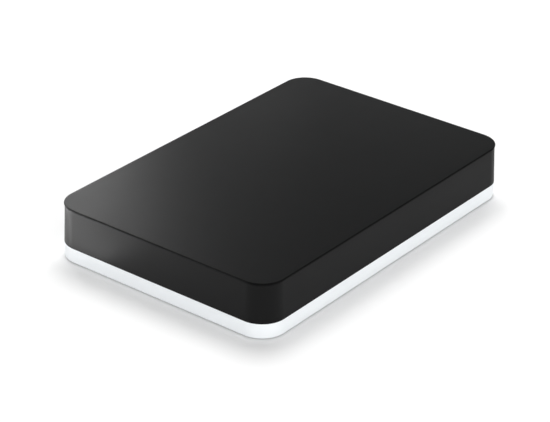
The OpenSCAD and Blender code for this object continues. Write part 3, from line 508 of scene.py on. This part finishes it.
# Corner bumpers and pads
# Moulded black rubber caps hold the corners of the disk drive, and strips of open foam sit between its
# flat sides and the case. The foam is cut from sheet with glue on one side.
black_rubber = Finish("black_rubber", Specular_IOR_Level=0.25)
black_rubber.mottled(grain=0.4 * MM, colours=greys(0.035, 0.055), rough=(0.65, 0.8), depth=0.02 * MM)
black_rubber.on("corner_bumpers")

grey_foam = Finish("grey_foam", Specular_IOR_Level=0.1)
pores = grey_foam.cells(0.45 * MM)
grey_foam.colour(pores, greys(0.06, 0.24))
grey_foam.rough(pores, (0.85, 1.0))
grey_foam.raised(pores, depth=0.15 * MM)
grey_foam.on("upper_foam_pad", "lower_foam_pad")

# Black shell
# The upper half of the case, injection moulded in black plastic with a fine satin grain. It snaps over
# the white shell's tongue, and its rear wall has the window for the socket.
SATIN_BLACKS = greys(0.0055, 0.0078, 0.04)
SATIN_ROUGH = (0.37, 0.47)
satin_black = Finish("satin_black", Specular_IOR_Level=0.08)
shell_grain = satin_black.clouds(0.35 * MM, 3.0, 0.6)
shell_smudge = satin_black.clouds(14 * MM, 3.0, 0.55)
satin_black.colour(shell_grain, SATIN_BLACKS)
satin_black.rough(shell_grain * 0.4 + shell_smudge * 0.6, SATIN_ROUGH)
satin_black.raised(shell_grain, depth=0.012 * MM, strength=0.6)
satin_black.on(softened("upper_shell", SEAM_ROUND))

# Top panel
# A thin black sheet bonded over the whole top. Its face has the same satin grain as the shell. Its cut
# edge is dull, and painted darker than the face: painted shade, for the dark line along the crease under
# the top.
PANEL_ROUND = 0.08 * MM
EDGE_BELOW = 0.03 * MM
# Painted shade: the darker black of the panel's cut edge, which draws the dark line along the crease.
EDGE_PAINTED_SHADE = (0.004, 0.004, 0.004, 1)
EDGE_ROUGH = 0.9
black_panel = Finish("black_panel", Specular_IOR_Level=0.08)
panel_grain = black_panel.clouds(0.3 * MM, 3.0, 0.6)
panel_smudge = black_panel.clouds(18 * MM, 3.0, 0.55)
face = black_panel.step(black_panel.along("Z"), edge=cad_box[1].z - EDGE_BELOW, softness=EDGE_BELOW / 2)
face_rough = black_panel.between(panel_grain * 0.4 + panel_smudge * 0.6, SATIN_ROUGH)
# The cut edge below the top face gets the darker black, painted shade of the crease line.
black_panel.colour(face, (EDGE_PAINTED_SHADE, black_panel.blend(panel_grain, SATIN_BLACKS)))
black_panel.rough(face, (EDGE_ROUGH, face_rough))
black_panel.raised(panel_grain, depth=0.01 * MM, strength=0.6)
black_panel.on(softened("top_panel", PANEL_ROUND))

# Floor
# A plain white sheet without gloss. It lies a hair under the feet, so that the two don't share a plane.
FLOOR_HALF = 3.0
FLOOR_GAP = 0.01 * MM
floor_mesh = bmesh.new()
bmesh.ops.create_grid(
    floor_mesh, x_segments=1, y_segments=1, size=FLOOR_HALF, matrix=Matrix.Translation((0, 0, -FLOOR_GAP)),
)
floor_data = bpy.data.meshes.new("floor")
floor_mesh.to_mesh(floor_data)
floor_mesh.free()
floor = bpy.data.objects.new("floor", floor_data)
bpy.context.scene.collection.objects.link(floor)
floor_white = Finish("floor_white", Base_Color=(0.9, 0.9, 0.9, 1), Specular_IOR_Level=0.0, Roughness=0.6)
floor_data.materials.append(floor_white.material)

# Sky
# An even white sky, as in a tent of cloth. It is dim behind the drive, so that the black top has little
# to mirror.
SKY = 0.67
DIM = 0.15
DIM_TURN = math.radians(128)
DIM_RISE = math.radians(25)
DIM_CORE = math.radians(35)
DIM_WIDE = math.radians(80)


def direction(turn, rise):
    """Arrow of length 1, turned from +X towards +Y and raised from the floor."""
    return Vector((math.cos(turn) * math.cos(rise), math.sin(turn) * math.cos(rise), math.sin(rise)))


world = bpy.data.worlds.new("studio")
world.use_nodes = True
sky = Wire(world.node_tree).node("ShaderNodeTexCoord", {}, "Generated")
towards_dim = sky.node("ShaderNodeVectorMath", {
    0: sky, 1: direction(DIM_TURN, DIM_RISE),
}, "Value", operation="DOT_PRODUCT")
strength = sky.node("ShaderNodeMapRange", {
    "Value": towards_dim, "From Min": math.cos(DIM_WIDE), "From Max": math.cos(DIM_CORE),
    "To Min": SKY, "To Max": SKY * DIM,
}, interpolation_type="SMOOTHSTEP")
background = world.node_tree.nodes["Background"]
plug((1, 1, 1, 1), background.inputs["Color"])
plug(strength, background.inputs["Strength"])
bpy.context.scene.world = world

# Lights
# Three large soft boxes light matt surfaces only, as through a polariser: one high behind the drive and
# one low at each near side. Small ones round its left end add only gloss, which greys the black there.
MIDDLE = (0, 0, 0)
TOP_LEFT = (-0.03, -0.04, 0.017)
LEFT_CORNER = (-0.038, -0.058, 0.010)


def facing(place, aim):
    """Matrix that puts a light or a camera at a place, looking at a point."""
    turned = (Vector(place) - Vector(aim)).to_track_quat("Z", "Y")
    return Matrix.Translation(place) @ turned.to_matrix().to_4x4()


def softbox(name, place, aim, size, power, lights):
    """Area light that lights "matt" surfaces or adds "gloss": places in metres, power in watts."""
    data = bpy.data.lights.new(name, "AREA")
    data.shape = "RECTANGLE"
    data.size, data.size_y = size
    data.energy = power
    light = bpy.data.objects.new(name, data)
    light.matrix_world = facing(place, aim)
    light.visible_glossy = lights == "gloss"
    light.visible_diffuse = lights == "matt"
    light.visible_camera = False
    bpy.context.scene.collection.objects.link(light)


softbox("back_high", (-0.43, 0.55, 1.32), MIDDLE, (1.0, 1.0), 20, "matt")
softbox("front_low", (0.50, -1.35, 0.30), MIDDLE, (1.0, 0.5), 3.1, "matt")
softbox("right_low", (1.35, -0.45, 0.30), MIDDLE, (1.0, 0.5), 4.95, "matt")
softbox("left_behind", (-0.15, 0.05, 0.09), TOP_LEFT, (0.06, 0.06), 0.105, "gloss")
softbox("back_strip", (-0.10, 0.16, 0.06), (-0.02, 0.05, 0.017), (0.16, 0.02), 0.021, "gloss")
softbox("left_strip", (-0.11, 0.03, 0.05), (-0.05, 0, 0.017), (0.16, 0.02), 0.007, "gloss")
softbox("corner_low", (-0.072, -0.098, 0.013), LEFT_CORNER, (0.03, 0.02), 0.09, "gloss")
softbox("left_low", (-0.085, -0.085, 0.013), LEFT_CORNER, (0.03, 0.02), 0.214, "gloss")
softbox("floor_strip", (-0.040, -0.069, 0.001), (-0.040, -0.069, 0.1), (0.030, 0.008), 0.008, "gloss")

# Camera
# The drive is seen from above its near corner, with a long lens, so that its upright edges stay nearly
# parallel. The turn, height and distance are those at which the case's edges fall as in the picture.
CAMERA_TURN = math.radians(-51.90)
CAMERA_RISE = math.radians(28.08)
CAMERA_ROLL = math.radians(0.65)
CAMERA_AWAY = 651.2 * MM
CAMERA_AIM = Vector((-6.83, 3.78, 0.04)) * MM
CAMERA_LENS = 140.91
camera_place = CAMERA_AIM + direction(CAMERA_TURN, CAMERA_RISE) * CAMERA_AWAY
camera_data = bpy.data.cameras.new("camera")
camera_data.lens = CAMERA_LENS
camera_data.clip_start = 10 * MM
camera_data.clip_end = 50
camera = bpy.data.objects.new("camera", camera_data)
camera.matrix_world = facing(camera_place, CAMERA_AIM) @ Matrix.Rotation(CAMERA_ROLL, 4, "Z")
bpy.context.scene.collection.objects.link(camera)
bpy.context.scene.camera = camera
bpy.context.scene.view_settings.view_transform = "Standard"
